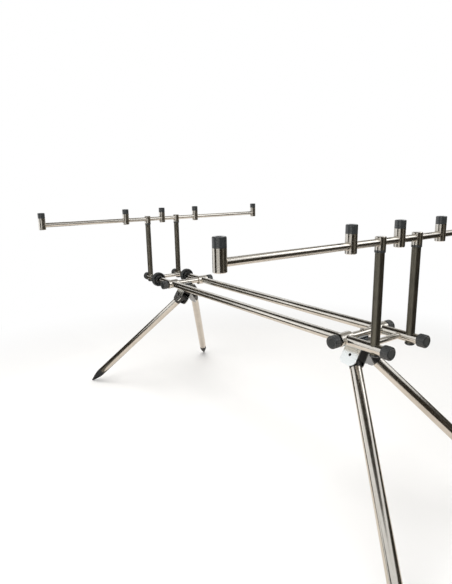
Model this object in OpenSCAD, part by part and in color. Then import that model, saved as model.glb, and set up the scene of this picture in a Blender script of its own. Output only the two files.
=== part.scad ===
// Rod pod: two telescopic main tubes on folding legs, with a goalpost and a buzz bar at each end.
// X runs along the main tubes (front is +X), Y runs along the buzz bars (left is +Y), Z is up.
// The origin is on the ground, midway between the two leg carriages. All sizes are in millimetres.

/* [Main tubes] */
// Outer diameter of the main tubes
tube_d = 18.5; // [18:0.5:24]
// Wall of the main tubes and of the inner tubes
tube_wall = 0.8; // [0.6:0.1:1]
// Distance between the axes of the two main tubes
tube_spacing = 100; // [92:1:130]
// Length of each inner tube inside its main tube
inner_overlap = 300; // [200:5:350]
// Outer diameter of the thin cross tubes at both ends
cross_d = 11; // [8:0.5:13]
// Wall of the thin cross tubes
cross_wall = 1; // [0.8:0.1:1.5]
// Distance from the uprights to the thin cross tube
cross_setback = 19.5; // [19:0.5:26]

/* [Lock wheels] */
// Outer diameter of a lock wheel
wheel_d = 43; // [38:1:52]
// Width of a lock wheel
wheel_w = 12; // [10:0.5:16]
// Distance from the rear uprights to the middle of the lock wheels
wheel_setback = 54; // [48:1:80]
// Number of finger flutes round a lock wheel
wheel_flutes = 28; // [16:1:36]

/* [Leg carriages] */
// Distance between the two leg carriages
carriage_spread = 643; // [600:1:720]
// Distance from the front carriage to the front uprights
front_reach = 67; // [66:1:110]
// Distance from the rear carriage to the rear uprights
rear_reach = 144; // [125:1:180]
// Outer diameter of a carriage cross tube
carriage_d = 16; // [14:0.5:18]
// Wall of a carriage cross tube
carriage_wall = 1.2; // [1:0.1:1.6]
// Outer diameter of the sleeve round a main tube
sleeve_d = 25; // [24:0.5:32]
// Length of the sleeve past the main tube, on each side
sleeve_lip = 6; // [5.5:0.5:10]

/* [Knobs] */
// Outer diameter of a clamp knob
knob_d = 24; // [20:0.5:28]
// Length of a clamp knob
knob_len = 16; // [13:0.5:22]
// Number of grip flutes round a clamp knob
knob_flutes = 24; // [14:1:30]
// Diameter of the steel stud in a knob
stud_d = 8; // [6:0.5:9]
// Bare stud that shows between a sleeve and its knob
stud_show = 3; // [2:0.5:8]

/* [Legs] */
// Outer diameter of a leg tube
leg_d = 22; // [16:0.5:22]
// Wall of a leg tube
leg_wall = 1; // [0.8:0.1:1.5]
// Distance from a leg's pivot to the middle of its foot's round tip
leg_len = 460; // [430:1:500]
// Angle by which the bracket's flanks and the legs lean outwards from the vertical
splay = 33; // [28:0.5:36]
// Angle by which an open leg swings away from the middle of the pod, in its flank's plane
swing = 37; // [30:0.2:42]
// Length of a foot below its leg tube
foot_len = 62; // [45:1:75]
// Length of a foot's plug inside its leg tube
foot_plug = 22; // [12:1:30]
// Radius of a foot's round tip
nose_r = 2.5; // [2:0.1:4]

/* [Leg brackets] */
// Height of the carriage tube's axis above the leg pivots
pivot_drop = 41.5; // [40:0.5:46]
// Distance of each leg pivot from the middle
pivot_y = 20.5; // [20:0.25:26]
// Width of a bracket along the main tubes
bracket_w = 36; // [34:0.5:44]
// Length of a bracket below the pivots, in the flank's plane
bracket_skirt = 19.5; // [19:0.5:26]
// Radius of a bracket's lower corners
bracket_corner = 11; // [6:0.5:14]
// Thickness of the folded bracket sheets
plate_t = 2; // [1.5:0.1:3]
// Radius of a leg's knuckle round its pivot
knuckle_r = 11.3; // [10.5:0.1:11.8]
// Distance from a leg's pivot to the upper end of its tube
leg_start = 23; // [13:0.5:26]
// Length of a knuckle's spigot inside its leg tube
spigot_len = 24; // [15:1:35]
// Diameter of a pivot pin
pin_d = 6; // [5:0.5:7]
// Diameter of the bolt through the carriage tube
bolt_d = 5; // [4:0.5:6]

/* [Goalposts] */
// Height of the buzz bar's axis above the main tubes, goalpost raised
bar_height = 181; // [170:1:260]
// Outer diameter of an upright
upright_d = 15.5; // [13:0.5:15.5]
// Wall of an upright
upright_wall = 1; // [0.8:0.1:1.5]
// Outer diameter of a buzz bar
bar_d = 12; // [11:0.5:14]
// Wall of a buzz bar
bar_wall = 1.5; // [1:0.1:2]
// Distance between the axes of a buzz bar's end posts
bar_len = 725; // [600:5:800]
// Outer diameter of a rod post
post_d = 18.5; // [18:0.5:24]
// Height of a rod post, with its cap
post_h = 45; // [43:1:60]
// Height of a rod post's black cap
post_cap_h = 14; // [12:0.5:15]
// Length of rod post below the buzz bar's axis
post_below = 12.3; // [10:0.1:14]
// Radius of the threaded hole in a cap, three eighths of an inch across
thread_r = 4.76; // [4:0.01:5]
// Depth of the threaded hole in a cap
thread_depth = 18; // [15:0.5:20]
// Outer diameter of a tee piece
tee_d = 18; // [17.5:0.5:24]
// Height of a tee piece above the buzz bar's axis
tee_above = 9.5; // [9:0.25:12]
// Height of a tee piece below the buzz bar's axis
tee_below = 12.5; // [12:0.5:16]
// Height of the black ring under a tee piece
ring_h = 4; // [3:0.5:6]

/* [Fits] */
// Radial gap where a tube slides or a pin turns
slide_gap = 0.05; // [0.02:0.01:0.08]
// Radial gap where a piece is pressed, screwed or welded in
seat_gap = 0.02; // [0.01:0.01:0.04]
// Gap between faces that move past each other
face_gap = 0.3; // [0.2:0.05:0.4]

/* [Hidden] */
$fn = 64;
steel = [0.80, 0.77, 0.72];
dark_steel = [0.30, 0.30, 0.28];
plate_steel = [0.87, 0.89, 0.89];
black = [0.15, 0.16, 0.16];

FRONT = 1;
REAR = -1;
LEFT = 1;
RIGHT = -1;
SIDES = [LEFT, RIGHT];
past = 1; // how far a cut runs past the face that it opens

// Legs and heights
leg_bore_r = leg_d / 2 - leg_wall;
pivot_z = leg_len * cos(swing) * cos(splay) + nose_r;
tube_z = pivot_z + pivot_drop;
bar_z = tube_z + bar_height;

// Tubes
inner_d = tube_d - 2 * tube_wall - 2 * slide_gap;
tube_y = tube_spacing / 2;
tube_side_wall = 2.5; // wall of an end block between the upright and the tube
front_knob_wall = 9.5; // wall of a front end block between the upright and the knob
rear_knob_wall = 4.5; // the same wall of a rear end block
block_in = upright_d / 2 + tube_side_wall;
block_spigot = 16; // length of the end block's spigot inside its tube
wheel_lip = 3; // rear wall of a lock wheel, which closes on the inner tube
wheel_x = rear_x() + wheel_setback;
main_rear_x = wheel_x - wheel_w / 2 + wheel_lip + face_gap;
inner_front_x = main_rear_x + inner_overlap;

// Carriages
sleeve_r = sleeve_d / 2;
sleeve_in = tube_y - tube_d / 2 - sleeve_lip;
sleeve_out = tube_y + tube_d / 2 + sleeve_lip;
sleeve_floor = 2; // steel left between a sleeve's seat and its main tube
sleeve_seat = sleeve_lip - sleeve_floor; // depth of the carriage tube's seat in a sleeve
knob_y = sleeve_out + stud_show;

// Knobs: a stud has a thick clamp end and a thin tail that shows in the knob's face
thick_depth = knob_len * 0.6; // depth of the thick bore in a knob
tail_step = 2; // how much smaller a tail's radius is
tail_r = stud_d / 2 - tail_step;

// Leg brackets: a leg moves between an outer flank and an inner flank
slot_half = knuckle_r + face_gap;
saddle = 0.8; // depth of the saddle that holds the carriage tube in the sheet's web
web_top = saddle - carriage_d / 2;
web_bottom = web_top - plate_t;
flank_top = (web_bottom + pivot_drop - slot_half * sin(splay)) / cos(splay);
fold_y = pivot_y + slot_half * cos(splay) - flank_top * sin(splay);
block_inset = 0.8; // how far the block stays inside the sheet's edges
fold_steps = 6; // flats round each fold of the sheet
pin_recess_r = 2.2; // corner radius of the hex recess in a pivot pin
pin_recess = 3; // depth of that recess
head_h = 3; // height of the carriage bolt's head above the tube
head_low_r = bolt_d; // the bolt head's radius at the tube
head_top_r = bolt_d * 0.7; // the bolt head's radius at its top
bolt_recess_r = bolt_d * 0.3; // corner radius of the bolt's hex recess
bolt_top = carriage_d / 2 + head_h;
bolt_low = web_bottom - 3 * bolt_d;
far = 200; // larger than any bracket

// Goalposts
post_above = post_h - post_below;
upright_low = -tube_d / 2 - face_gap; // an upright's lower end, against the main tubes' axis
tee_floor = 1; // steel left between an upright's end and the buzz bar
upright_seat = tee_below - bar_d / 2 - tee_floor; // depth of an upright's seat in its tee
upright_cap_h = 4; // height of the cap below an upright
upright_cap_lip = 1; // how far that cap stands out from the upright, so that it stops the goalpost
upright_plug = 8; // length of that cap's plug in the upright
upright_cap_bevel = 1.5; // bevel round that cap's lower face
thread_floor = 3; // plastic left under the threaded hole
cap_plug_h = thread_depth + thread_floor - post_cap_h; // a cap's plug inside its post
post_wall = 2.5; // wall of a post round its cap's plug
cap_plug_r = post_d / 2 - post_wall;
tip_wall = 2; // wall of an end post that closes the buzz bar's end
bar_tip = post_d / 2 - tip_wall; // a buzz bar's end, past the axis of its end post
post_places = [-1 / 2, -1 / 6, 0, 1 / 6, 1 / 2]; // shares of bar_len

// A point of the bracket's section, from its distances along a flank's normal and up its slope
function flank_point(out, rise) = [
    pivot_y + out * cos(splay) - rise * sin(splay),
    -pivot_drop + out * sin(splay) + rise * cos(splay)
];

// The left half of the folded sheet's section: inner edge, outer edge and round fold up to the web
function fold_point(a) = [fold_y + plate_t * cos(a), web_bottom + plate_t * sin(a)];
left_half = concat(
    [flank_point(slot_half, -bracket_skirt - past), flank_point(slot_half + plate_t, -bracket_skirt - past)],
    [for (i = [0 : fold_steps]) fold_point(splay + (90 - splay) * i / fold_steps)]
);

// Places along X
function front_x() = carriage_spread / 2 + front_reach;
function rear_x() = -carriage_spread / 2 - rear_reach;
function upright_x(end) = end == FRONT ? front_x() : rear_x();
function end_tube_d(end) = end == FRONT ? tube_d : inner_d;
function block_out(end) = upright_d / 2 + (end == FRONT ? front_knob_wall : rear_knob_wall);

// A cylinder along X or Y between two places
module x_rod(from, to, d) translate([from, 0, 0]) rotate([0, 90, 0]) cylinder(d = d, h = to - from);
module y_rod(from, to, d) translate([0, from, 0]) rotate([-90, 0, 0]) cylinder(d = d, h = to - from);

// Puts a shape drawn for the front left corner at any corner
module corner(end, side) {
    mirror([end == REAR ? 1 : 0, 0, 0]) mirror([0, side == RIGHT ? 1 : 0, 0]) children();
}

// Puts a shape drawn round a carriage's middle at the front or rear carriage
module carriage(end, side = LEFT) {
    corner(end, side) translate([carriage_spread / 2, 0, tube_z]) children();
}

// Puts a shape drawn round a leg pivot, with the flank's normal along Y and its slope along -Z
module bracket_plane() {
    translate([0, pivot_y, -pivot_drop]) rotate([splay, 0, 0]) children();
}

// Puts a shape drawn along -Z from a leg's pivot at an open leg
module leg_place(end, side) {
    carriage(end, side) bracket_plane() rotate([0, -swing, 0]) children();
}

// A round body with bevelled rims, grip flutes and a dished face, along +Z from its back face
module knob_body() {
    bevel = 1.5;
    flute_r = 1.1;
    face_rim = 3.5;
    dish_r = knob_d / 2 - face_rim;
    dish = 0.8;
    difference() {
        rotate_extrude()
            polygon([
                [0, 0], [knob_d / 2 - bevel, 0], [knob_d / 2, bevel],
                [knob_d / 2, knob_len - bevel], [knob_d / 2 - bevel, knob_len],
                [dish_r, knob_len], [dish_r - dish, knob_len - dish], [0, knob_len - dish]
            ]);
        for (i = [0 : knob_flutes - 1])
            rotate([0, 0, i * 360 / knob_flutes])
                translate([knob_d / 2 + flute_r / 2, 0, -past])
                    cylinder(r = flute_r, h = knob_len + 2 * past, $fn = 24);
        translate([0, 0, -past])
            cylinder(r = stud_d / 2 + seat_gap, h = thick_depth + past);
        translate([0, 0, thick_depth - past])
            cylinder(r = tail_r + seat_gap, h = knob_len);
    }
}

// The knob's stud: its clamp end reaches back from the knob, its thin tail shows in the knob's face
module stud_body(reach) {
    shoulder = thick_depth - seat_gap;
    translate([0, 0, -reach]) cylinder(d = stud_d, h = reach + shoulder);
    translate([0, 0, shoulder - past]) cylinder(r = tail_r, h = knob_len - shoulder);
}

// Main tubes and their ends
module main_tube(side) {
    color(steel) translate([0, side * tube_y, tube_z]) difference() {
        x_rod(main_rear_x, front_x() - block_in, tube_d);
        x_rod(main_rear_x - past, front_x() - block_in + past, tube_d - 2 * tube_wall);
    }
}

module inner_tube(side) {
    color(steel) translate([0, side * tube_y, tube_z]) difference() {
        x_rod(rear_x() + block_in, inner_front_x, inner_d);
        x_rod(rear_x() + block_in - past, inner_front_x + past, inner_d - 2 * tube_wall);
    }
}

module cross_tube(end) {
    d = end_tube_d(end);
    color(steel) translate([upright_x(end) - end * cross_setback, 0, tube_z]) difference() {
        y_rod(-tube_y, tube_y, cross_d);
        y_rod(-tube_y - past, tube_y + past, cross_d - 2 * cross_wall);
        for (side = SIDES)
            translate([0, side * tube_y, 0]) x_rod(-cross_d, cross_d, d + 2 * seat_gap);
    }
}

// A solid tube end: the upright slides through it, and the knob's stud reaches the upright from its end
module end_blocks(end) {
    bore = end_tube_d(end) - 2 * tube_wall;
    color(steel) for (side = SIDES) corner(end, side)
        translate([abs(upright_x(end)), tube_y, tube_z]) difference() {
            union() {
                x_rod(-block_in, block_out(end), tube_d);
                x_rod(-block_in - block_spigot, -block_in + past, bore - 2 * seat_gap);
            }
            translate([0, 0, -tube_d]) cylinder(r = upright_d / 2 + slide_gap, h = 2 * tube_d);
            x_rod(0, block_out(end) + past, stud_d + 2 * slide_gap);
        }
}

module lock_wheel(side) {
    r = wheel_d / 2;
    wall = 4;
    draft = 1;
    rim = r - wall;
    hub = tube_d / 2 + wall;
    depth = wheel_w / 2;
    bevel = 1.5;
    flute_r = 1.6;
    color(black) translate([wheel_x - wheel_w / 2, side * tube_y, tube_z]) rotate([0, 90, 0]) difference() {
        rotate_extrude()
            polygon([
                [inner_d / 2 + slide_gap, 0], [r - bevel, 0], [r, bevel], [r, wheel_w - bevel],
                [r - bevel, wheel_w], [rim, wheel_w], [rim - draft, wheel_w - depth],
                [hub, wheel_w - depth], [hub - draft, wheel_w], [tube_d / 2 + slide_gap, wheel_w],
                [tube_d / 2 + slide_gap, wheel_lip], [inner_d / 2 + slide_gap, wheel_lip]
            ]);
        for (i = [0 : wheel_flutes - 1])
            rotate([0, 0, i * 360 / wheel_flutes])
                translate([r + flute_r / 2, 0, -past])
                    cylinder(r = flute_r, h = wheel_w + 2 * past, $fn = 24);
    }
}

module end_place(end, side) {
    corner(end, side)
        translate([abs(upright_x(end)) + block_out(end) + face_gap, tube_y, tube_z])
            rotate([0, 90, 0]) children();
}

module end_knob(end, side) {
    color(black) end_place(end, side) knob_body();
}

module end_stud(end, side) {
    color(steel) end_place(end, side) stud_body(block_out(end) - upright_d / 2);
}

// Leg carriages
module carriage_tube(end) {
    half = sleeve_in + sleeve_seat;
    color(steel) carriage(end) difference() {
        y_rod(-half, half, carriage_d);
        y_rod(-half - past, half + past, carriage_d - 2 * carriage_wall);
        translate([0, 0, -carriage_d]) cylinder(r = bolt_d / 2 + seat_gap, h = 2 * carriage_d);
    }
}

module carriage_sleeves(end) {
    bevel = 1;
    color(steel) for (side = SIDES) carriage(end, side) difference() {
        translate([0, sleeve_in, 0]) rotate([-90, 0, 0]) rotate_extrude()
            polygon([
                [0, 0], [sleeve_r - bevel, 0], [sleeve_r, bevel],
                [sleeve_r, sleeve_out - sleeve_in - bevel],
                [sleeve_r - bevel, sleeve_out - sleeve_in], [0, sleeve_out - sleeve_in]
            ]);
        translate([0, tube_y, 0]) x_rod(-sleeve_d, sleeve_d, tube_d + 2 * slide_gap);
        y_rod(sleeve_in - past, sleeve_in + sleeve_seat, carriage_d + 2 * seat_gap);
        y_rod(tube_y, sleeve_out + past, stud_d + 2 * slide_gap);
    }
}

module carriage_knob_place(end, side) {
    carriage(end, side) translate([0, knob_y, 0]) rotate([-90, 0, 0]) children();
}

module carriage_knob(end, side) {
    color(black) carriage_knob_place(end, side) knob_body();
}

module carriage_stud(end, side) {
    color(steel) carriage_knob_place(end, side)
        stud_body(knob_y - tube_y - tube_d / 2 - face_gap);
}

// The outline that the flanks and the block share, with the slope along -Y
module bracket_outline(top, inset = 0) {
    half = bracket_w / 2 - inset;
    low = inset - bracket_skirt;
    r = bracket_corner - inset;
    translate([-half, low + r]) square([2 * half, top - low - r]);
    translate([r - half, low]) square([2 * half - 2 * r, 2 * r]);
    for (s = SIDES) translate([s * (half - r), low + r]) circle(r = r);
}

// Stands a flat outline in the flank's plane, from one distance along the flank's normal to another
module across_flank(from, to) {
    translate([0, to, 0]) rotate([90, 0, 0]) linear_extrude(height = to - from) children();
}

// The room that a leg sweeps between open and folded, and its stop when open
module leg_sweep() {
    r = slot_half;
    stop = r * [cos(swing), sin(swing)];
    circle(r = r);
    polygon([
        stop, stop + far * [sin(swing), -cos(swing)], [0, -2 * far],
        [-2 * far, -2 * far], [-2 * far, r], [0, r]
    ]);
}

// Two leaning slabs that meet under the web, between two distances along the flanks' normals
module leaning_slabs(from, to, inset) {
    for (side = SIDES) corner(FRONT, side) intersection() {
        bracket_plane() across_flank(from, to) bracket_outline(far, inset);
        translate([-far, 0, web_bottom - far]) cube([2 * far, far, far]);
    }
}

// Two sheets of steel: a web folded down into two outer flanks, and two inner flanks that meet in a fold
module leg_bracket(end) {
    width = bracket_w + 2 * past;
    right_half = [for (p = left_half) [-p[0], p[1]]];
    last = len(left_half) - 1;
    section = concat(
        left_half, [for (i = [0 : last]) right_half[last - i]], [[-fold_y, web_bottom], [fold_y, web_bottom]]
    );
    color(plate_steel) carriage(end) difference() {
        intersection() {
            rotate([90, 0, 90]) linear_extrude(height = width, center = true) polygon(section);
            bracket_plane() across_flank(-far, far) bracket_outline(far);
            corner(FRONT, RIGHT) bracket_plane() across_flank(-far, far) bracket_outline(far);
        }
        y_rod(-far, far, carriage_d + 2 * seat_gap);
        for (side = SIDES) corner(FRONT, side) bracket_plane()
            y_rod(0, 2 * slot_half, pin_d + 2 * seat_gap);
        translate([0, 0, -far]) cylinder(r = bolt_d / 2 + seat_gap, h = far);
    }
    color(plate_steel) carriage(end) difference() {
        leaning_slabs(-slot_half - plate_t, -slot_half, 0);
        for (side = SIDES) corner(FRONT, side) bracket_plane() y_rod(-far, far, pin_d + 2 * seat_gap);
    }
}

module leg_block(end) {
    color(black) carriage(end) difference() {
        leaning_slabs(-slot_half, slot_half, block_inset);
        for (side = SIDES) corner(FRONT, side) bracket_plane()
            across_flank(-slot_half - past, slot_half + past) leg_sweep();
        translate([0, 0, bolt_low]) cylinder(r = bolt_d / 2 + seat_gap, h = far);
    }
}

// Two pivot pins, each flush with its flank, and the bolt with a round head on the carriage tube
module bracket_fasteners(end) {
    color(steel) {
        for (side = SIDES) carriage(end, side) bracket_plane() difference() {
            y_rod(-slot_half - plate_t, slot_half + plate_t, pin_d);
            translate([0, slot_half + plate_t - pin_recess, 0]) rotate([-90, 0, 0])
                cylinder(r = pin_recess_r, h = pin_recess + past, $fn = 6);
        }
        carriage(end) difference() {
            union() {
                translate([0, 0, bolt_low]) cylinder(d = bolt_d, h = bolt_top - bolt_low);
                difference() {
                    cylinder(r1 = head_low_r, r2 = head_top_r, h = bolt_top);
                    y_rod(-carriage_d, carriage_d, carriage_d + 2 * seat_gap);
                }
            }
            translate([0, 0, bolt_top - head_h / 2]) cylinder(r = bolt_recess_r, h = head_h, $fn = 6);
        }
    }
}

// Legs
module leg_knuckle(end, side) {
    spigot_end = -leg_start - spigot_len;
    color(black) leg_place(end, side) difference() {
        union() {
            y_rod(-knuckle_r, knuckle_r, 2 * knuckle_r);
            translate([0, 0, -leg_start]) cylinder(r = knuckle_r, h = leg_start);
            translate([0, 0, spigot_end]) cylinder(r = leg_bore_r - seat_gap, h = -spigot_end);
        }
        y_rod(-2 * knuckle_r, 2 * knuckle_r, pin_d + 2 * slide_gap);
    }
}

module leg_tube(end, side) {
    bottom = foot_len - leg_len - nose_r;
    len = -leg_start - bottom;
    color(steel) leg_place(end, side) translate([0, 0, bottom]) difference() {
        cylinder(d = leg_d, h = len);
        translate([0, 0, -past]) cylinder(r = leg_bore_r, h = len + 2 * past);
    }
}

// A foot: a plug in the leg tube, a straight collar, a long taper and a slim nose with a round tip
module foot(end, side) {
    r = leg_d / 2;
    plug_r = leg_bore_r - seat_gap;
    shoulder = foot_len - nose_r;
    collar = shoulder * 0.62; // where the taper meets the straight collar
    waist = shoulder * 0.24; // where the nose meets the taper
    waist_r = r * 0.55;
    color(black) leg_place(end, side) translate([0, 0, -leg_len]) {
        rotate_extrude()
            polygon([
                [0, 0], [nose_r, 0], [waist_r, waist], [r, collar], [r, shoulder],
                [plug_r, shoulder], [plug_r, shoulder + foot_plug], [0, shoulder + foot_plug]
            ]);
        sphere(r = nose_r);
    }
}

// Goalposts
module goalpost(end) {
    translate([upright_x(end), 0, bar_z]) children();
}

module uprights(end) {
    top = upright_seat - tee_below;
    bottom = upright_low - bar_height;
    color(dark_steel) goalpost(end) for (side = SIDES) translate([0, side * tube_y, bottom]) difference() {
        cylinder(d = upright_d, h = top - bottom);
        translate([0, 0, -past]) cylinder(d = upright_d - 2 * upright_wall, h = top - bottom + 2 * past);
    }
}

// Black rings under the tees, and black caps that plug the uprights' lower ends and stop them
module upright_collars(end) {
    bottom = upright_low - bar_height;
    cap_r = upright_d / 2 + upright_cap_lip;
    plug_r = upright_d / 2 - upright_wall - seat_gap;
    color(black) goalpost(end) for (side = SIDES) translate([0, side * tube_y, 0]) {
        translate([0, 0, -tee_below - ring_h]) difference() {
            cylinder(d = tee_d, h = ring_h);
            translate([0, 0, -past]) cylinder(r = upright_d / 2 + seat_gap, h = ring_h + 2 * past);
        }
        translate([0, 0, bottom - upright_cap_h]) rotate_extrude()
            polygon([
                [0, 0], [cap_r - upright_cap_bevel, 0], [cap_r, upright_cap_bevel], [cap_r, upright_cap_h],
                [plug_r, upright_cap_h], [plug_r, upright_cap_h + upright_plug], [0, upright_cap_h + upright_plug]
            ]);
    }
}

module tee_pieces(end) {
    bevel = 1;
    r = tee_d / 2;
    color(steel) goalpost(end) for (side = SIDES) translate([0, side * tube_y, 0]) difference() {
        rotate_extrude()
            polygon([
                [0, -tee_below], [r, -tee_below], [r, tee_above - bevel],
                [r - bevel, tee_above], [0, tee_above]
            ]);
        y_rod(-tee_d, tee_d, bar_d + 2 * seat_gap);
        translate([0, 0, -tee_below - past])
            cylinder(r = upright_d / 2 + seat_gap, h = upright_seat + past);
    }
}

module buzz_bar(end) {
    half = bar_len / 2 + bar_tip;
    color(steel) goalpost(end) difference() {
        y_rod(-half, half, bar_d);
        y_rod(-half - past, half + past, bar_d - 2 * bar_wall);
    }
}

module rod_posts(end) {
    bevel = 1;
    r = post_d / 2;
    top = post_above - post_cap_h;
    color(steel) goalpost(end) for (share = post_places) translate([0, share * bar_len, 0]) difference() {
        rotate_extrude()
            polygon([
                [0, -post_below], [r - bevel, -post_below], [r, bevel - post_below], [r, top], [0, top]
            ]);
        y_rod(
            share == -1 / 2 ? -bar_tip : -post_d,
            share == 1 / 2 ? bar_tip : post_d,
            bar_d + 2 * seat_gap
        );
        translate([0, 0, top - cap_plug_h]) cylinder(r = cap_plug_r + seat_gap, h = cap_plug_h + past);
    }
}

// Black caps, each with a plug in its post and a threaded hole for a bite alarm or a rod rest
module post_caps(end) {
    bevel = 1;
    r = post_d / 2;
    bottom = post_above - post_cap_h;
    color(black) goalpost(end) for (share = post_places) translate([0, share * bar_len, 0]) difference() {
        rotate_extrude()
            polygon([
                [0, bottom - cap_plug_h], [cap_plug_r, bottom - cap_plug_h],
                [cap_plug_r, bottom], [r, bottom], [r, post_above - bevel],
                [r - bevel, post_above], [0, post_above]
            ]);
        translate([0, 0, post_above - thread_depth]) cylinder(r = thread_r, h = thread_depth + past);
    }
}

main_tube(LEFT);  // left_main_tube
main_tube(RIGHT);  // right_main_tube
cross_tube(FRONT);  // front_cross_tube
end_blocks(FRONT);  // front_end_blocks
inner_tube(LEFT);  // left_inner_tube
inner_tube(RIGHT);  // right_inner_tube
cross_tube(REAR);  // rear_cross_tube
end_blocks(REAR);  // rear_end_blocks
lock_wheel(LEFT);  // left_lock_wheel
lock_wheel(RIGHT);  // right_lock_wheel
end_knob(FRONT, LEFT);  // front_left_end_knob
end_knob(FRONT, RIGHT);  // front_right_end_knob
end_knob(REAR, LEFT);  // rear_left_end_knob
end_knob(REAR, RIGHT);  // rear_right_end_knob
end_stud(FRONT, LEFT);  // front_left_end_stud
end_stud(FRONT, RIGHT);  // front_right_end_stud
end_stud(REAR, LEFT);  // rear_left_end_stud
end_stud(REAR, RIGHT);  // rear_right_end_stud
carriage_tube(FRONT);  // front_carriage_tube
carriage_tube(REAR);  // rear_carriage_tube
carriage_sleeves(FRONT);  // front_carriage_sleeves
carriage_sleeves(REAR);  // rear_carriage_sleeves
carriage_knob(FRONT, LEFT);  // front_left_carriage_knob
carriage_knob(FRONT, RIGHT);  // front_right_carriage_knob
carriage_knob(REAR, LEFT);  // rear_left_carriage_knob
carriage_knob(REAR, RIGHT);  // rear_right_carriage_knob
carriage_stud(FRONT, LEFT);  // front_left_carriage_stud
carriage_stud(FRONT, RIGHT);  // front_right_carriage_stud
carriage_stud(REAR, LEFT);  // rear_left_carriage_stud
carriage_stud(REAR, RIGHT);  // rear_right_carriage_stud
leg_block(FRONT);  // front_leg_block
leg_block(REAR);  // rear_leg_block
leg_bracket(FRONT);  // front_leg_bracket
leg_bracket(REAR);  // rear_leg_bracket
bracket_fasteners(FRONT);  // front_bracket_fasteners
bracket_fasteners(REAR);  // rear_bracket_fasteners
leg_knuckle(FRONT, LEFT);  // front_left_leg_knuckle
leg_knuckle(FRONT, RIGHT);  // front_right_leg_knuckle
leg_knuckle(REAR, LEFT);  // rear_left_leg_knuckle
leg_knuckle(REAR, RIGHT);  // rear_right_leg_knuckle
leg_tube(FRONT, LEFT);  // front_left_leg_tube
leg_tube(FRONT, RIGHT);  // front_right_leg_tube
leg_tube(REAR, LEFT);  // rear_left_leg_tube
leg_tube(REAR, RIGHT);  // rear_right_leg_tube
foot(FRONT, LEFT);  // front_left_foot
foot(FRONT, RIGHT);  // front_right_foot
foot(REAR, LEFT);  // rear_left_foot
foot(REAR, RIGHT);  // rear_right_foot
uprights(FRONT);  // front_uprights
uprights(REAR);  // rear_uprights
tee_pieces(FRONT);  // front_tee_pieces
tee_pieces(REAR);  // rear_tee_pieces
upright_collars(FRONT);  // front_upright_collars
upright_collars(REAR);  // rear_upright_collars
buzz_bar(FRONT);  // front_buzz_bar
buzz_bar(REAR);  // rear_buzz_bar
rod_posts(FRONT);  // front_rod_posts
rod_posts(REAR);  // rear_rod_posts
post_caps(FRONT);  // front_post_caps
post_caps(REAR);  // rear_post_caps
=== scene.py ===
"""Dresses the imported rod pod: polished stainless tubes, black grips, threads and weld beads, in a studio."""

import math

import bpy
import numpy as np
from mathutils import Matrix, Vector


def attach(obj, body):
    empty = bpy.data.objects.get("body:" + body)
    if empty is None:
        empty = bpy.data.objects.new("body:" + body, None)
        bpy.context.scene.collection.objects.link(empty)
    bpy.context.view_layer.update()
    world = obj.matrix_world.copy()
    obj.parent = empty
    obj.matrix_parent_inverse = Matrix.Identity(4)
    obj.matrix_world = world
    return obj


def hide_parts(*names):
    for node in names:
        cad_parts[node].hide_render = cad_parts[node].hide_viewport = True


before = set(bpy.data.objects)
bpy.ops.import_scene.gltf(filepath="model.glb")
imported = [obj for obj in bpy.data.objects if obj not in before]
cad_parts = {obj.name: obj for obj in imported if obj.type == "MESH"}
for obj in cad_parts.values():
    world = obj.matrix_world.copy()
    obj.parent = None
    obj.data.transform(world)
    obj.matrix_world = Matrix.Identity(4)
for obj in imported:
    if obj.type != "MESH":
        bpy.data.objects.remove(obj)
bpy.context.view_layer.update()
MM = 0.001
FULL_TURN = 2 * np.pi

# The two ends with their sign along X, and the two sides with their sign along Y
ENDS = {"front": 1, "rear": -1}
SIDES = {"left": 1, "right": -1}

# Sizes of the CAD source, in millimetres and degrees
TUBE_R = 9.25
INNER_R = 8.4
TUBE_Y = 50.0
TUBE_Z = 352.104
CROSS_R = 5.5
CROSS_FROM_UPRIGHT = 19.5
UPRIGHT_X = {"front": 388.5, "rear": -465.5}
UPRIGHT_R = 7.75
BLOCK_OUT = {"front": 17.25, "rear": 12.25}
KNOB_GAP = 0.3
WHEEL_BACK_X = -417.5
CARRIAGE_X = 321.5
CARRIAGE_KNOB_Y = 68.25
CARRIAGE_STUD_REACH = 8.7
PIVOT_Y = 20.5
PIVOT_Z = 310.604
PINS_BELOW = PIVOT_Z + 18
BOLTS_ABOVE = PIVOT_Z + 20
LEG_LENGTH = 460.0
LEG_SPLAY = 33.0
LEG_SWING = 37.0
BAR_R = 6.0
BAR_Z = 533.104
BAR_LENGTH = 725.0
TEE_R = 9.0
POST_R = 9.25
POST_SHARES = (-1 / 2, -1 / 6, 0, 1 / 6, 1 / 2)
CAP_TOP_Z = BAR_Z + 32.7
CAP_THREAD_DEPTH = 18.0


def linear(code):
    """An sRGB hex colour as linear red, green, blue and alpha."""
    s = np.array([int(code[i : i + 2], 16) / 255 for i in (1, 3, 5)])
    return (*np.where(s <= 0.04045, s / 12.92, ((s + 0.055) / 1.055) ** 2.4), 1.0)


def add(tree, kind, inputs=None, **settings):
    """Adds a node, sets its options and its ramp's stops, and fills its inputs with values or outputs."""
    made = tree.nodes.new(kind)
    stops = settings.pop("stops", ())
    for key, value in settings.items():
        setattr(made, key, value)
    while stops and len(made.color_ramp.elements) < len(stops):
        made.color_ramp.elements.new(1.0)
    for i, (place, code) in enumerate(stops):
        made.color_ramp.elements[i].position = place
        made.color_ramp.elements[i].color = linear(code)
    for key, value in (inputs or {}).items():
        if isinstance(value, bpy.types.NodeSocket):
            tree.links.new(value, made.inputs[key])
        else:
            made.inputs[key].default_value = value
    return made


def begin(name):
    """A new node material: its tree, its principled shader and its Object coordinates."""
    material = bpy.data.materials.new(name)
    material.use_nodes = True
    tree = material.node_tree
    shader = tree.nodes["Principled BSDF"]
    coords = add(tree, "ShaderNodeTexCoord").outputs["Object"]
    return material, tree, shader, coords


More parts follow.
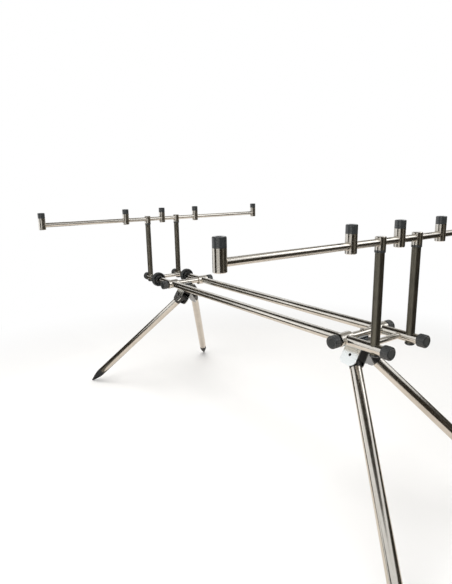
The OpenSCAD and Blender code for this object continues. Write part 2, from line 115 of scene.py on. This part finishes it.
def tube_steel(name, axis, stops, rough, cloud_mm=28.0, line_mm=1.6):
    """Stainless or chromed tube, ground and polished: faint rings round the tube's axis and slow clouds in
    the polish, with reflections as sharp as its roughness leaves them. Real polishing lines are finer, and
    are drawn coarser so that they show."""
    material, tree, shader, coords = begin(name)
    along = add(tree, "ShaderNodeVectorMath", {0: coords, 1: axis}, operation="DOT_PRODUCT").outputs["Value"]
    rings = add(tree, "ShaderNodeTexNoise", {"W": along, "Scale": 1 / (line_mm * MM), "Detail": 2.0},
                noise_dimensions="1D").outputs["Fac"]
    clouds = add(tree, "ShaderNodeTexNoise",
                 {"Vector": coords, "Scale": 1 / (cloud_mm * MM), "Detail": 3.0}).outputs["Fac"]
    both = add(tree, "ShaderNodeMath", {0: rings, 1: clouds}, operation="MULTIPLY").outputs["Value"]
    tint = add(tree, "ShaderNodeValToRGB", {"Fac": clouds}, stops=stops)
    tree.links.new(tint.outputs["Color"], shader.inputs["Base Color"])
    gloss = add(tree, "ShaderNodeMapRange",
                {"Value": both, "From Min": 0.1, "From Max": 0.45, "To Min": rough[0], "To Max": rough[1]})
    tree.links.new(gloss.outputs["Result"], shader.inputs["Roughness"])
    bump = add(tree, "ShaderNodeBump", {"Height": rings, "Strength": 0.06, "Distance": 0.02 * MM})
    tree.links.new(bump.outputs["Normal"], shader.inputs["Normal"])
    shader.inputs["Metallic"].default_value = 1.0
    return material


def black_moulding(name, stops, rough, grain_mm):
    """Black nylon or hard rubber from a mould with a fine grain: glossy or dull by its roughness, and a
    little greyer where the grain stands up. The real grain is finer, and is drawn coarser so that it
    shows."""
    material, tree, shader, coords = begin(name)
    grain = add(tree, "ShaderNodeTexNoise",
                {"Vector": coords, "Scale": 1 / (grain_mm * MM), "Detail": 4.0}).outputs["Fac"]
    tint = add(tree, "ShaderNodeValToRGB", {"Fac": grain}, stops=stops)
    tree.links.new(tint.outputs["Color"], shader.inputs["Base Color"])
    gloss = add(tree, "ShaderNodeMapRange",
                {"Value": grain, "From Min": 0.3, "From Max": 0.7, "To Min": rough[0], "To Max": rough[1]})
    tree.links.new(gloss.outputs["Result"], shader.inputs["Roughness"])
    bump = add(tree, "ShaderNodeBump", {"Height": grain, "Strength": 0.25, "Distance": 0.08 * MM})
    tree.links.new(bump.outputs["Normal"], shader.inputs["Normal"])
    shader.inputs["IOR"].default_value = 1.6
    return material


def sheet_steel(name, streak_mm=(25, 5 / 7)):
    """Stainless sheet, finely brushed along X outside: pale, with thin streaks. Faces turned up or to the
    bracket's middle are painted greyer, as painted shade. Real brushing is finer than these streaks, which
    are drawn as long and wide as they need to show."""
    material, tree, shader, coords = begin(name)
    across = add(tree, "ShaderNodeSeparateXYZ", {"Vector": coords}).outputs["Y"]
    facing = add(tree, "ShaderNodeTexCoord").outputs["Normal"]
    turned_to = add(tree, "ShaderNodeSeparateXYZ", {"Vector": facing}).outputs
    outwards = add(tree, "ShaderNodeMath", {0: across, 1: turned_to["Y"]}, operation="MULTIPLY")
    inner = add(tree, "ShaderNodeMath", {0: outwards.outputs["Value"], 1: 0.0}, operation="LESS_THAN")
    upper = add(tree, "ShaderNodeMath", {0: turned_to["Z"], 1: 0.9}, operation="GREATER_THAN")
    # Painted shade: faces turned up or to the bracket's middle are pushed onto the greyer stops
    painted_shade_faces = add(tree, "ShaderNodeMath", {0: inner.outputs["Value"], 1: upper.outputs["Value"]},
               operation="MAXIMUM").outputs["Value"]
    long, wide = (1 / (size * MM) for size in streak_mm)
    stretched = add(tree, "ShaderNodeMapping", {"Vector": coords, "Scale": (long, wide, wide)})
    streaks = add(tree, "ShaderNodeTexNoise",
                  {"Vector": stretched.outputs["Vector"], "Scale": 1.0, "Detail": 3.0}).outputs["Fac"]
    place = add(tree, "ShaderNodeMath", {0: streaks, 1: painted_shade_faces}, operation="ADD").outputs["Value"]
    half = add(tree, "ShaderNodeMath", {0: place, 1: 0.5}, operation="MULTIPLY").outputs["Value"]
    # The two greyer stops are painted shade on the faces turned up or to the bracket's middle
    tint = add(tree, "ShaderNodeValToRGB", {"Fac": half},
               stops=((0.15, "#DDE2E1"), (0.35, "#F0F3F3"), (0.65, "#83888D"), (0.85, "#979CA1")))
    tree.links.new(tint.outputs["Color"], shader.inputs["Base Color"])
    gloss = add(tree, "ShaderNodeMapRange",
                {"Value": streaks, "From Min": 0.3, "From Max": 0.7, "To Min": 0.16, "To Max": 0.26})
    tree.links.new(gloss.outputs["Result"], shader.inputs["Roughness"])
    bump = add(tree, "ShaderNodeBump", {"Height": streaks, "Strength": 0.1, "Distance": 0.02 * MM})
    tree.links.new(bump.outputs["Normal"], shader.inputs["Normal"])
    shader.inputs["Metallic"].default_value = 1.0
    return material


def fastener_steel(name, mark_mm=1.5):
    """Turned fasteners: dark low down, at the pivot pins, and bright higher up, at the bolts above them. Tool
    marks make the gloss uneven, and are drawn coarser than real ones so that they show."""
    material, tree, shader, coords = begin(name)
    height = add(tree, "ShaderNodeSeparateXYZ", {"Vector": coords}).outputs["Z"]
    upper = add(tree, "ShaderNodeMapRange",
                {"Value": height, "From Min": PINS_BELOW * MM, "From Max": BOLTS_ABOVE * MM})
    tint = add(tree, "ShaderNodeValToRGB", {"Fac": upper.outputs["Result"]},
               stops=((0.0, "#3C3D3D"), (1.0, "#CFCBC4")))
    tree.links.new(tint.outputs["Color"], shader.inputs["Base Color"])
    marks = add(tree, "ShaderNodeTexNoise",
                {"Vector": coords, "Scale": 1 / (mark_mm * MM), "Detail": 2.0}).outputs["Fac"]
    gloss = add(tree, "ShaderNodeMapRange", {"Value": marks, "To Min": 0.2, "To Max": 0.4})
    tree.links.new(gloss.outputs["Result"], shader.inputs["Roughness"])
    shader.inputs["Metallic"].default_value = 1.0
    return material


def leg_axis(end, side):
    """The direction of an open leg from its pivot to its foot."""
    swing, splay = math.radians(LEG_SWING), math.radians(LEG_SPLAY)
    return (ENDS[end] * math.sin(swing), SIDES[side] * math.cos(swing) * math.sin(splay),
            -math.cos(swing) * math.cos(splay))


# Finishes: colour stops and the range of roughness
STEEL = ((0.3, "#CAC6BE"), (0.7, "#D8D4CD"))
DARK = ((0.3, "#6C695F"), (0.7, "#79756A"))
HEAT_TINT = ((0.3, "#B9AFA0"), (0.7, "#CFC6B8"))
POLISHED = (0.13, 0.2)
steel_x = tube_steel("polished_stainless_along", (1, 0, 0), STEEL, POLISHED)
steel_y = tube_steel("polished_stainless_across", (0, 1, 0), STEEL, POLISHED)
steel_z = tube_steel("polished_stainless_upright", (0, 0, 1), STEEL, POLISHED)
# The uprights are chromed black over a ground surface: dark and satin, with broad soft reflections
dark_z = tube_steel("black_chromed_steel", (0, 0, 1), DARK, (0.38, 0.46))
# Weld metal stays heat tinted: warmer and a little duller than the tubes
seam_steel = tube_steel("heat_tinted_weld_steel", (0, 1, 0), HEAT_TINT, (0.2, 0.3),
                        cloud_mm=6.0, line_mm=0.8)
bracket_steel = sheet_steel("brushed_stainless_sheet")
bolt_steel = fastener_steel("bolt_steel_darker_low_down")
# Grips and caps come smooth from the mould and shine, feet are dull, and the blocks are painted near black as
# shade
grip_black = black_moulding("moulded_nylon_grip", ((0.35, "#2A2C2C"), (0.7, "#363838")), (0.10, 0.16), 0.6)
cap_black = black_moulding("moulded_nylon_cap", ((0.35, "#313334"), (0.7, "#3B3E3F")), (0.16, 0.22), 0.6)
foot_black = black_moulding("hard_rubber_foot", ((0.35, "#1E1F20"), (0.7, "#303233")), (0.55, 0.75), 1.2)
# Black nylon darkened to near black with painted shade, for the shade the blocks sit in
block_black_and_shade = black_moulding("cast_nylon_block", ((0.35, "#0A0B0B"), (0.7, "#141515")), (0.3, 0.45), 1.4)

# Each CAD node's finish, by the end of the node's name
LOOKS = {
    "main_tube": steel_x, "inner_tube": steel_x, "cross_tube": steel_y, "end_blocks": steel_x,
    "lock_wheel": grip_black, "end_knob": grip_black, "end_stud": steel_x,
    "carriage_tube": steel_y, "carriage_sleeves": steel_y,
    "carriage_knob": grip_black, "carriage_stud": steel_y,
    "leg_bracket": bracket_steel, "leg_block": block_black_and_shade, "bracket_fasteners": bolt_steel,
    "leg_knuckle": block_black_and_shade, "foot": foot_black,
    "uprights": dark_z, "tee_pieces": steel_z, "upright_collars": cap_black,
    "buzz_bar": steel_y, "rod_posts": steel_z, "post_caps": cap_black,
}
for end in ENDS:
    for side in SIDES:
        LOOKS[f"{end}_{side}_leg_tube"] = tube_steel(
            f"polished_stainless_leg_{end}_{side}", leg_axis(end, side), STEEL, POLISHED)
for name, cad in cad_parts.items():
    cad.data.materials.clear()
    cad.data.materials.append(next(look for key, look in LOOKS.items() if name.endswith(key)))

# Surfaces
SHARP_EDGE = math.radians(38)


def put_mesh(name, points, faces, material):
    """A mesh object from an array of points in metres and a list of faces, smooth but for sharp edges."""
    mesh = bpy.data.meshes.new(name)
    mesh.from_pydata(points.reshape(-1, 3).tolist(), [], [list(face) for face in faces])
    mesh.shade_smooth()
    mesh.set_sharp_from_angle(angle=SHARP_EDGE)
    mesh.materials.append(material)
    made = bpy.data.objects.new(name, mesh)
    bpy.context.scene.collection.objects.link(made)
    return made


def round_angles(columns):
    """Evenly spaced angles of a full turn."""
    return np.linspace(0, FULL_TURN, columns, endpoint=False)


def grid_faces(rows, columns, round_rows=False, round_columns=True):
    """Quads of a grid of points, row by row; a round grid joins its last row or column to its first."""
    row_starts = np.arange(rows - (not round_rows))
    column_starts = np.arange(columns - (not round_columns))
    i, j = np.meshgrid(row_starts, column_starts, indexing="ij")
    below, beside = (i + 1) % rows, (j + 1) % columns
    corners = [i * columns + j, i * columns + beside, below * columns + beside, below * columns + j]
    return np.stack(corners, -1).reshape(-1, 4)


def capped_faces(rows, columns):
    """Quads of a grid that is round along its rows, with a flat face over the first and the last row."""
    first, last = np.arange(columns)[::-1], np.arange(columns) + (rows - 1) * columns
    return [*grid_faces(rows, columns).tolist(), first.tolist(), last.tolist()]


def gathered(parts):
    """Several pairs of points and faces as one pair."""
    points = [part_points.reshape(-1, 3) for part_points, _ in parts]
    starts = np.cumsum([0] + [len(part_points) for part_points in points])
    faces = [part_faces + start for (_, part_faces), start in zip(parts, starts)]
    return np.concatenate(points), np.concatenate(faces)


def placed(points, at, along, nearly_upright=0.95):
    """Turns points so that their third axis runs along a direction, and moves them to a place, in metres."""
    w = np.array(along, float) / np.linalg.norm(along)
    u = np.cross(w, (0, 0, 1) if abs(w[2]) < nearly_upright else (1, 0, 0))
    u /= np.linalg.norm(u)
    v = np.cross(w, u)
    return (np.array(at) + points[..., :1] * u + points[..., 1:2] * v + points[..., 2:] * w) * MM


def rounded(corners, radius, steps=4, closed=True, edge_share=0.45):
    """An outline whose corners V become curves (1-t)^2 A + 2t(1-t) V + t^2 B, with A and B on the corner's
    two edges at its radius, or at a share of an edge that is too short for it."""
    v = np.array(corners, float)
    back, ahead = np.roll(v, 1, 0) - v, np.roll(v, -1, 0) - v
    a = v + back * np.minimum(radius / np.linalg.norm(back, axis=1), edge_share)[:, None]
    b = v + ahead * np.minimum(radius / np.linalg.norm(ahead, axis=1), edge_share)[:, None]
    t = np.linspace(0, 1, steps)[None, :, None]
    curves = (1 - t) ** 2 * a[:, None] + 2 * t * (1 - t) * v[:, None] + t**2 * b[:, None]
    if closed:
        return curves.reshape(-1, 2)
    return np.concatenate([v[:1], curves[1:-1].reshape(-1, 2), v[-1:]])


def turned(outline, columns, flutes=None, sharpness=9, far_out=99.0):
    """An outline of radius r and height s turned about its axis: (r cos a, r sin a, s). Flutes are round
    grooves whose wall lies at c cos d - sqrt(f^2 - (c sin d)^2), with d the angle to the nearest groove, c
    the distance of its middle and f its radius; the radius is the soft minimum of outline and wall."""
    a = round_angles(columns)
    r = np.repeat(outline[:, :1], columns, 1)
    if flutes:
        count, c, f = flutes
        d = ((a * count / FULL_TURN + 0.5) % 1 - 0.5) * FULL_TURN / count
        under = f**2 - (c * np.sin(d)) ** 2
        wall = np.where(under > 0, c * np.cos(d) - np.sqrt(np.maximum(under, 0)), far_out)
        r = -np.log(np.exp(-sharpness * r) + np.exp(-sharpness * wall)) / sharpness
    s = np.repeat(outline[:, 1:], columns, 1)
    return np.stack([r * np.cos(a), r * np.sin(a), s], -1)


def thread_wave(s, a, pitch, steepness=1.3, cut=0.15):
    """A thread's height from 0 in its groove to 1 on its crest, climbing one pitch a turn: a triangle wave
    made steeper and cut off, which leaves it flat at both."""
    share = (s[:, None] / pitch - a[None, :] / FULL_TURN) % 1
    return np.clip(steepness * (1 - np.abs(2 * share - 1)) - cut, 0, 1)


def bead(path, middle, radius, ripples, sides=8, least=0.88, growth=0.24):
    """A weld bead: a tube round a closed path, whose radius grows by about a quarter and drops back once per
    ripple, as the overlapping pools of a weld do."""
    tangent = np.roll(path, -1, 0) - np.roll(path, 1, 0)
    tangent /= np.linalg.norm(tangent, axis=1)[:, None]
    out = path - np.array(middle)
    out -= tangent * np.sum(out * tangent, 1)[:, None]
    out /= np.linalg.norm(out, axis=1)[:, None]
    side = np.cross(tangent, out)
    turn = round_angles(sides)[None, :, None]
    share = (np.arange(len(path)) * ripples / len(path) % 1)[:, None, None]
    swell = radius * (least + growth * share)
    points = path[:, None] + swell * (np.cos(turn) * out[:, None] + np.sin(turn) * side[:, None])
    return points * MM, grid_faces(len(path), sides, round_rows=True)


# Pieces in place of CAD nodes: clamp knobs, lock wheels, threaded studs and feet.
# An outline is a list of corners, radius and height in millimetres, with the rounding of each corner.
KNOB = rounded(
    [(2.02, 14.7), (2.02, 9.6), (4.02, 9.6), (4.02, 0), (10.5, 0), (12, 1.5), (12, 14.5), (10.5, 16),
     (8.5, 16), (7.7, 15.2), (6.5, 15.2)],
    np.array([0, 0.1, 0.1, 0.2, 0.8, 0.9, 0.9, 0.8, 0.4, 0.4, 0]), closed=False)
WHEEL = rounded(
    [(8.45, 0), (20, 0), (21.5, 1.5), (21.5, 10.5), (20, 12), (17.5, 12), (16.5, 6), (13.25, 6),
     (12.25, 12), (9.3, 12), (9.3, 3), (8.45, 3)],
    np.array([0.2, 0.9, 0.9, 0.9, 0.9, 0.7, 0.8, 0.8, 0.7, 0.3, 0.1, 0.1]))
FOOT = rounded(
    [(0.05, -2.5), (1.6, -2.4), (2.7, 0.6), (6.05, 14.3), (11, 36.9), (11, 59.5), (9.98, 59.5),
     (9.98, 81.5), (0.05, 81.5)],
    np.array([0, 1.4, 2.0, 7, 9, 0.4, 0.1, 0.5, 0]), steps=6, closed=False)
STUD_SHANK = rounded(
    [(3.98, 0.7), (3.98, 9.58), (2, 9.58), (2, 13.9), (1.2, 14.55), (0.05, 14.6)],
    np.array([0, 0.2, 0.2, 0.4, 0.5, 0]), closed=False)
# Flutes: their number, the distance of their middles from the axis, and their radius
KNOB_FLUTES = (24, 12.55, 1.1)
WHEEL_FLUTES = (28, 22.3, 1.6)
KNOB_COLUMNS = 384
WHEEL_COLUMNS = 448
FOOT_COLUMNS = 64
STUD_COLUMNS = 48
STUD_ROWS_PER_MM = 8
STUD_ROWS_IN_KNOB = 6


def stud_points(reach, core=3.4, depth=0.58, pitch=1.25, lead_in=1.2, thread_end=0.6):
    """A knob's stud: an M8 thread up to the knob, whose radius is the core's plus the thread's wave, growing
    in over its lead-in, then a plain shank and a thin tail that ends under the knob's face."""
    a = round_angles(STUD_COLUMNS)
    s = np.linspace(-reach, thread_end, int(STUD_ROWS_PER_MM * reach) + STUD_ROWS_IN_KNOB)
    screw = core + depth * thread_wave(s, a, pitch) * np.clip((s + reach) / lead_in, 0, 1)[:, None]
    r = np.concatenate([screw, np.repeat(STUD_SHANK[:, :1], STUD_COLUMNS, 1)])
    rise = np.repeat(np.concatenate([s, STUD_SHANK[:, 1]])[:, None], STUD_COLUMNS, 1)
    return np.stack([r * np.cos(a), r * np.sin(a), rise], -1)


def replace_node(name, points, faces, material, body):
    """Puts a finer piece in place of a CAD node, on the same body."""
    piece = put_mesh(f"{name}_shaped", points, faces, material)
    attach(piece, body)
    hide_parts(name)


knob = turned(KNOB, KNOB_COLUMNS, KNOB_FLUTES)
wheel = turned(WHEEL, WHEEL_COLUMNS, WHEEL_FLUTES)
foot = turned(FOOT, FOOT_COLUMNS)
knob_faces = capped_faces(*knob.shape[:2])
wheel_faces = grid_faces(*wheel.shape[:2], round_rows=True)
foot_faces = capped_faces(*foot.shape[:2])

for end, forward in ENDS.items():
    for side, leftward in SIDES.items():
        corner = f"{end}_{side}"
        knob_at = (UPRIGHT_X[end] + forward * (BLOCK_OUT[end] + KNOB_GAP), leftward * TUBE_Y, TUBE_Z)
        replace_node(f"{corner}_end_knob", placed(knob, knob_at, (forward, 0, 0)), knob_faces, grip_black,
                     f"{corner}_end_knob")
        clamp_at = (forward * CARRIAGE_X, leftward * CARRIAGE_KNOB_Y, TUBE_Z)
        replace_node(f"{corner}_carriage_knob", placed(knob, clamp_at, (0, leftward, 0)), knob_faces,
                     grip_black, f"{corner}_carriage_knob")
        end_reach = BLOCK_OUT[end] - UPRIGHT_R
        for node, at, along, reach, look in (
                ("carriage", clamp_at, (0, leftward, 0), CARRIAGE_STUD_REACH, steel_y),
                ("end", knob_at, (forward, 0, 0), end_reach, steel_x)):
            stud = stud_points(reach)
            replace_node(f"{corner}_{node}_stud", placed(stud, at, along), capped_faces(*stud.shape[:2]),
                         look, f"{corner}_{node}_knob")
        axis = np.array(leg_axis(end, side))
        pivot = np.array((forward * CARRIAGE_X, leftward * PIVOT_Y, PIVOT_Z))
        replace_node(f"{corner}_foot", placed(foot, pivot + LEG_LENGTH * axis, -axis), foot_faces,
                     foot_black, f"{corner}_leg")

for side, leftward in SIDES.items():
    wheel_at = (WHEEL_BACK_X, leftward * TUBE_Y, TUBE_Z)
    replace_node(f"{side}_lock_wheel", placed(wheel, wheel_at, (1, 0, 0)), wheel_faces, grip_black,
                 f"{side}_lock_wheel")

# Pieces that the CAD leaves out: threads in the post caps and weld beads.
# A bead's size is its radius in millimetres and its number of ripples.
BAR_BEAD = (0.7, 24)
SLEEVE_BEAD = (1.3, 26)
CROSS_BEAD = (0.9, 22)
SLEEVE_SEAM_R = 8.2
SLEEVE_SEAM_Y = 34.55
BEAD_STEPS = 144
TURN = round_angles(BEAD_STEPS)
THREAD_COLUMNS = 40
THREAD_ROWS = 99


def thread_points(groove=4.7, depth=0.75, pitch=1.27, outside=4.74, top=-0.3, bottom=0.4 - CAP_THREAD_DEPTH):
    """The thread in a post's cap: a sleeve, plain outside, and inside a three-eighths thread of 20 turns an
    inch, whose radius is the groove's less the thread's wave."""
    a = round_angles(THREAD_COLUMNS)
    s = np.linspace(top, bottom, THREAD_ROWS)
    inside = groove - depth * thread_wave(s, a, pitch)
    r = np.concatenate([inside, np.full((2, THREAD_COLUMNS), outside)])
    rise = np.repeat(np.concatenate([s, s[-1:], s[:1]])[:, None], THREAD_COLUMNS, 1)
    return np.stack([r * np.cos(a), r * np.sin(a), rise], -1)


def post_seams(y, radius, sides):
    """Paths where the bar goes into a post, with their middles: x = b cos t, z = b sin t with the bar's
    radius b, and y on the post's wall."""
    x, z = BAR_R * np.cos(TURN), BAR_R * np.sin(TURN)
    wall = np.sqrt(radius**2 - x**2)
    return [(np.stack([x, y + s * wall, z], -1), (0, y + s * radius, 0)) for s in sides]


def add_piece(name, parts, material, body):
    """A new piece from several surfaces, riding on a body."""
    piece = put_mesh(name, *gathered(parts), material)
    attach(piece, body)


thread = thread_points()
thread_faces = grid_faces(*thread.shape[:2], round_rows=True)
seams = []
for share in POST_SHARES:
    # An end post has no bar on its outer side
    bar_sides = [s for s in (-1, 1) if s * share < max(POST_SHARES)]
    seams += post_seams(share * BAR_LENGTH, POST_R, bar_sides)
for tee_y in (-TUBE_Y, TUBE_Y):
    seams += post_seams(tee_y, TEE_R, (-1, 1))
sleeve_x, sleeve_z = SLEEVE_SEAM_R * np.cos(TURN), SLEEVE_SEAM_R * np.sin(TURN)
sleeve_ring = np.stack([sleeve_x, np.zeros(BEAD_STEPS), sleeve_z], -1)
cross_x, cross_z = CROSS_R * np.cos(TURN), CROSS_R * np.sin(TURN)

for end, forward in ENDS.items():
    threads = [(placed(thread, (UPRIGHT_X[end], share * BAR_LENGTH, CAP_TOP_Z), (0, 0, 1)), thread_faces)
               for share in POST_SHARES]
    add_piece(f"{end}_post_threads", threads, cap_black, f"{end}_goalpost")
    bar_middle = np.array((UPRIGHT_X[end], 0, BAR_Z))
    bar_beads = [bead(path + bar_middle, middle + bar_middle, *BAR_BEAD) for path, middle in seams]
    add_piece(f"{end}_bar_seams", bar_beads, seam_steel, f"{end}_goalpost")
    sleeves = [sleeve_ring + (forward * CARRIAGE_X, leftward * SLEEVE_SEAM_Y, TUBE_Z)
               for leftward in SIDES.values()]
    add_piece(f"{end}_sleeve_seams", [bead(path, path.mean(0), *SLEEVE_BEAD) for path in sleeves],
              seam_steel, f"{end}_carriage")
    # The front cross tube joins the main tubes, and the rear one the inner tubes
    joined_r, body = (TUBE_R, "frame") if end == "front" else (INNER_R, "rear_extension")
    wall_y = TUBE_Y - np.sqrt(joined_r**2 - cross_z**2)
    seam_x = UPRIGHT_X[end] - forward * CROSS_FROM_UPRIGHT
    crosses = [np.stack([cross_x + seam_x, leftward * wall_y, cross_z + TUBE_Z], -1)
               for leftward in SIDES.values()]
    add_piece(f"{end}_cross_seams", [bead(path, path.mean(0), *CROSS_BEAD) for path in crosses],
              seam_steel, body)

# Studio, in metres and degrees
FLOOR_RINGS = np.array([0.02, 0.5, 1.0, 2.0, 6.0, 20.0])
FLOOR_COLUMNS = 96
CEILING_COLUMNS = 48
WALL_R = 1.7
PANEL_R = 1.68
NEAR_R = 0.9


def background_rays(tree):
    """One where a ray comes from the camera, a glossy surface or glass, and zero elsewhere."""
    path = add(tree, "ShaderNodeLightPath").outputs
    first = add(tree, "ShaderNodeMath", {0: path["Is Camera Ray"], 1: path["Is Glossy Ray"]},
                operation="MAXIMUM").outputs["Value"]
    both = add(tree, "ShaderNodeMath", {0: first, 1: path["Is Transmission Ray"]}, operation="MAXIMUM")
    return both.outputs["Value"]


def studio_floor():
    """A pale round floor, rings of points about the middle, that takes the shadows near the object and runs
    out to white."""
    material, tree, shader, coords = begin("pale_studio_floor")
    away = add(tree, "ShaderNodeVectorMath", {0: coords}, operation="LENGTH").outputs["Value"]
    fade = add(tree, "ShaderNodeMapRange", {"Value": away, "From Min": 0.8, "From Max": 1.5},
               interpolation_type="SMOOTHSTEP").outputs["Result"]
    share = add(tree, "ShaderNodeMath", {0: fade, 1: background_rays(tree)}, operation="MULTIPLY")
    white = add(tree, "ShaderNodeEmission", {"Color": (1, 1, 1, 1), "Strength": 1.0})
    shader.inputs["Base Color"].default_value = linear("#F8F7F5")
    shader.inputs["Roughness"].default_value = 0.9
    mixed = add(tree, "ShaderNodeMixShader",
                {0: share.outputs["Value"], 1: shader.outputs["BSDF"], 2: white.outputs["Emission"]})
    tree.links.new(mixed.outputs["Shader"], tree.nodes["Material Output"].inputs["Surface"])
    turn = round_angles(FLOOR_COLUMNS)
    level = np.zeros((len(FLOOR_RINGS), FLOOR_COLUMNS))
    points = np.stack([np.outer(FLOOR_RINGS, np.cos(turn)), np.outer(FLOOR_RINGS, np.sin(turn)), level], -1)
    faces = [*grid_faces(*level.shape).tolist(), list(range(FLOOR_COLUMNS))]
    return put_mesh("studio_floor", points, faces, material)


def studio_world():
    """White to the camera and to reflections, and a plain soft fill on everything else."""
    world = bpy.data.worlds.new("studio_world")
    world.use_nodes = True
    tree = world.node_tree
    fill = tree.nodes["Background"]
    fill.inputs["Color"].default_value = (1, 1, 1, 1)
    fill.inputs["Strength"].default_value = 0.66
    white = add(tree, "ShaderNodeBackground", {"Color": (1, 1, 1, 1), "Strength": 1.0})
    mixed = add(tree, "ShaderNodeMixShader",
                {0: background_rays(tree), 1: fill.outputs["Background"], 2: white.outputs["Background"]})
    tree.links.new(mixed.outputs["Shader"], tree.nodes["World Output"].inputs["Surface"])
    bpy.context.scene.world = world


def card(name, code, glow=0.0):
    """A matt studio card of one colour, or a light panel where it glows."""
    material, _, shader, _ = begin(name)
    shader.inputs["Base Color"].default_value = linear(code)
    shader.inputs["Roughness"].default_value = 1.0
    shader.inputs["Emission Color"].default_value = linear(code)
    shader.inputs["Emission Strength"].default_value = glow
    return material


def flag(name, azimuths, heights, radius, material, steps=24):
    """An upright studio card: a strip of a cylinder between two azimuths and two heights."""
    turn = np.radians(np.linspace(azimuths[0], azimuths[1], steps))
    ring = np.stack([radius * np.cos(turn), radius * np.sin(turn), np.zeros(steps)], -1)
    points = np.stack([ring + (0, 0, heights[0]), ring + (0, 0, heights[1])])
    return put_mesh(name, points, grid_faces(2, steps, round_columns=False), material)


def level_card(name, azimuths, reach, material, steps=24, z=0.001):
    """A level studio card: a sector of a ring about the middle, between two azimuths and two radii."""
    turn = np.radians(np.linspace(azimuths[0], azimuths[1], steps))
    points = np.stack([np.stack([r * np.cos(turn), r * np.sin(turn), np.full(steps, z)], -1) for r in reach])
    return put_mesh(name, points, grid_faces(2, steps, round_columns=False), material)


def ceiling_card(name, radius, z, material):
    """A round studio card overhead, facing down."""
    turn = round_angles(CEILING_COLUMNS)
    points = np.stack([radius * np.cos(turn), radius * np.sin(turn), np.full(CEILING_COLUMNS, z)], -1)
    return put_mesh(name, points, [list(range(CEILING_COLUMNS))[::-1]], material)


def only_reflected(studio_card):
    """A studio card shows in reflections, and neither shades the object nor hides it."""
    studio_card.visible_camera = False
    studio_card.visible_diffuse = False
    studio_card.visible_shadow = False
    studio_card.visible_transmission = False


def softbox(name, place, aim, size, watts):
    """An area lamp at place, turned to aim, that lights and doesn't show in reflections."""
    lamp = bpy.data.lights.new(name, "AREA")
    lamp.shape = "RECTANGLE"
    lamp.size, lamp.size_y = size
    lamp.energy = watts
    made = bpy.data.objects.new(name, lamp)
    bpy.context.scene.collection.objects.link(made)
    made.location = place
    made.rotation_euler = (Vector(aim) - Vector(place)).to_track_quat("-Z", "Y").to_euler()
    made.visible_glossy = False


def photo_camera():
    """The photograph's camera: place, turn, tilt and roll from the perspective of the tubes and bars."""
    yaw, pitch, roll = (math.radians(angle) for angle in (34.78, 12.73, -1.16))
    place = (0.8550, -0.6780, 0.6235)
    focal_px, long_side_px = 462.7, 584
    ahead = Vector((-math.cos(yaw) * math.cos(pitch), math.sin(yaw) * math.cos(pitch), -math.sin(pitch)))
    level = ahead.cross(Vector((0, 0, 1))).normalized()
    over = level.cross(ahead)
    right = level * math.cos(roll) + over * math.sin(roll)
    up = over * math.cos(roll) - level * math.sin(roll)
    data = bpy.data.cameras.new("photo_camera")
    data.sensor_width = 36.0
    data.lens = focal_px / long_side_px * data.sensor_width
    data.clip_start, data.clip_end = 0.01, 100.0
    made = bpy.data.objects.new("photo_camera", data)
    bpy.context.scene.collection.objects.link(made)
    turn = Matrix((right, up, -ahead)).transposed().to_4x4()
    made.matrix_world = Matrix.Translation(place) @ turn
    bpy.context.scene.camera = made


dark_card = card("dark_flag_cloth", "#332E26")
grey_card = card("grey_card", "#6A665D")
middle_card = card("middle_card", "#A29F99")
pale_card = card("pale_card", "#DEDCD8")
warm_card = card("warm_card", "#F0E7DD")
light_panel = card("light_panel", "#FFFFFF", 1.45)
soft_panel = card("soft_panel", "#FFFFFF", 0.45)
# Dark cards give the polished tubes their dark lines, and panels their bright ones
flags = [
    flag("flag_front", (-38, 24), (0.0, 1.05), WALL_R, dark_card),
    flag("flag_front_left", (24, 46), (0.0, 0.95), WALL_R, dark_card),
    flag("flag_left", (46, 72), (0.0, 0.88), WALL_R, dark_card),
    flag("flag_left_far", (72, 98), (0.0, 0.7), WALL_R, grey_card),
    flag("flag_far", (98, 150), (0.0, 0.6), WALL_R, grey_card),
    flag("flag_far_high", (72, 135), (1.2, 2.6), WALL_R, middle_card),
    flag("flag_front_grey", (-2, 25), (0.2, 0.5), PANEL_R, grey_card),
    flag("flag_right", (-102, -72), (0.0, 0.8), WALL_R, dark_card),
    flag("flag_front_right", (-70, -40), (0.0, 0.6), WALL_R, pale_card),
    flag("flag_rear_low", (-165, -112), (0.0, 0.16), WALL_R, grey_card),
    flag("flag_rear_middle", (-182, -147), (0.62, 1.4), WALL_R, dark_card),
    flag("flag_rear_high", (-182, -138), (1.35, 2.3), WALL_R, dark_card),
    flag("flag_rear_near", (-172, -138), (0.0, 0.4), NEAR_R, dark_card),
    flag("flag_rear_side", (-138, -112), (0.0, 0.22), NEAR_R, dark_card),
    flag("light_panel", (34, 63), (1.22, 2.4), PANEL_R, light_panel),
    flag("light_panel_right", (-138, -124), (0.42, 0.9), PANEL_R, soft_panel),
    flag("light_strip_right", (-130, -115), (1.15, 1.36), PANEL_R, soft_panel),
    level_card("floor_card_middle", (0, 360), (0.01, 0.9), warm_card, steps=73),
    level_card("floor_card_rear", (-175, -112), (0.58, 1.7), grey_card, z=0.002),
    level_card("floor_card_front", (-38, 75), (0.85, 1.7), dark_card, z=0.002),
    level_card("floor_patch_front", (28, 48), (1.1, 1.5), middle_card, z=0.003),
    level_card("ceiling_patch", (10, 115), (0.25, 1.9), pale_card, z=2.58),
    ceiling_card("ceiling_card", 2.2, 2.6, dark_card),
]
for studio_card in flags:
    only_reflected(studio_card)
studio_floor()
studio_world()
softbox("top_softbox", (0.0, -0.3, 2.2), (0, 0, 0.3), (1.6, 1.2), 22)
softbox("key_softbox", (0.6, -2.0, 1.8), (0, 0, 0.3), (1.2, 1.0), 18)
photo_camera()
bpy.context.scene.view_settings.view_transform = "Standard"
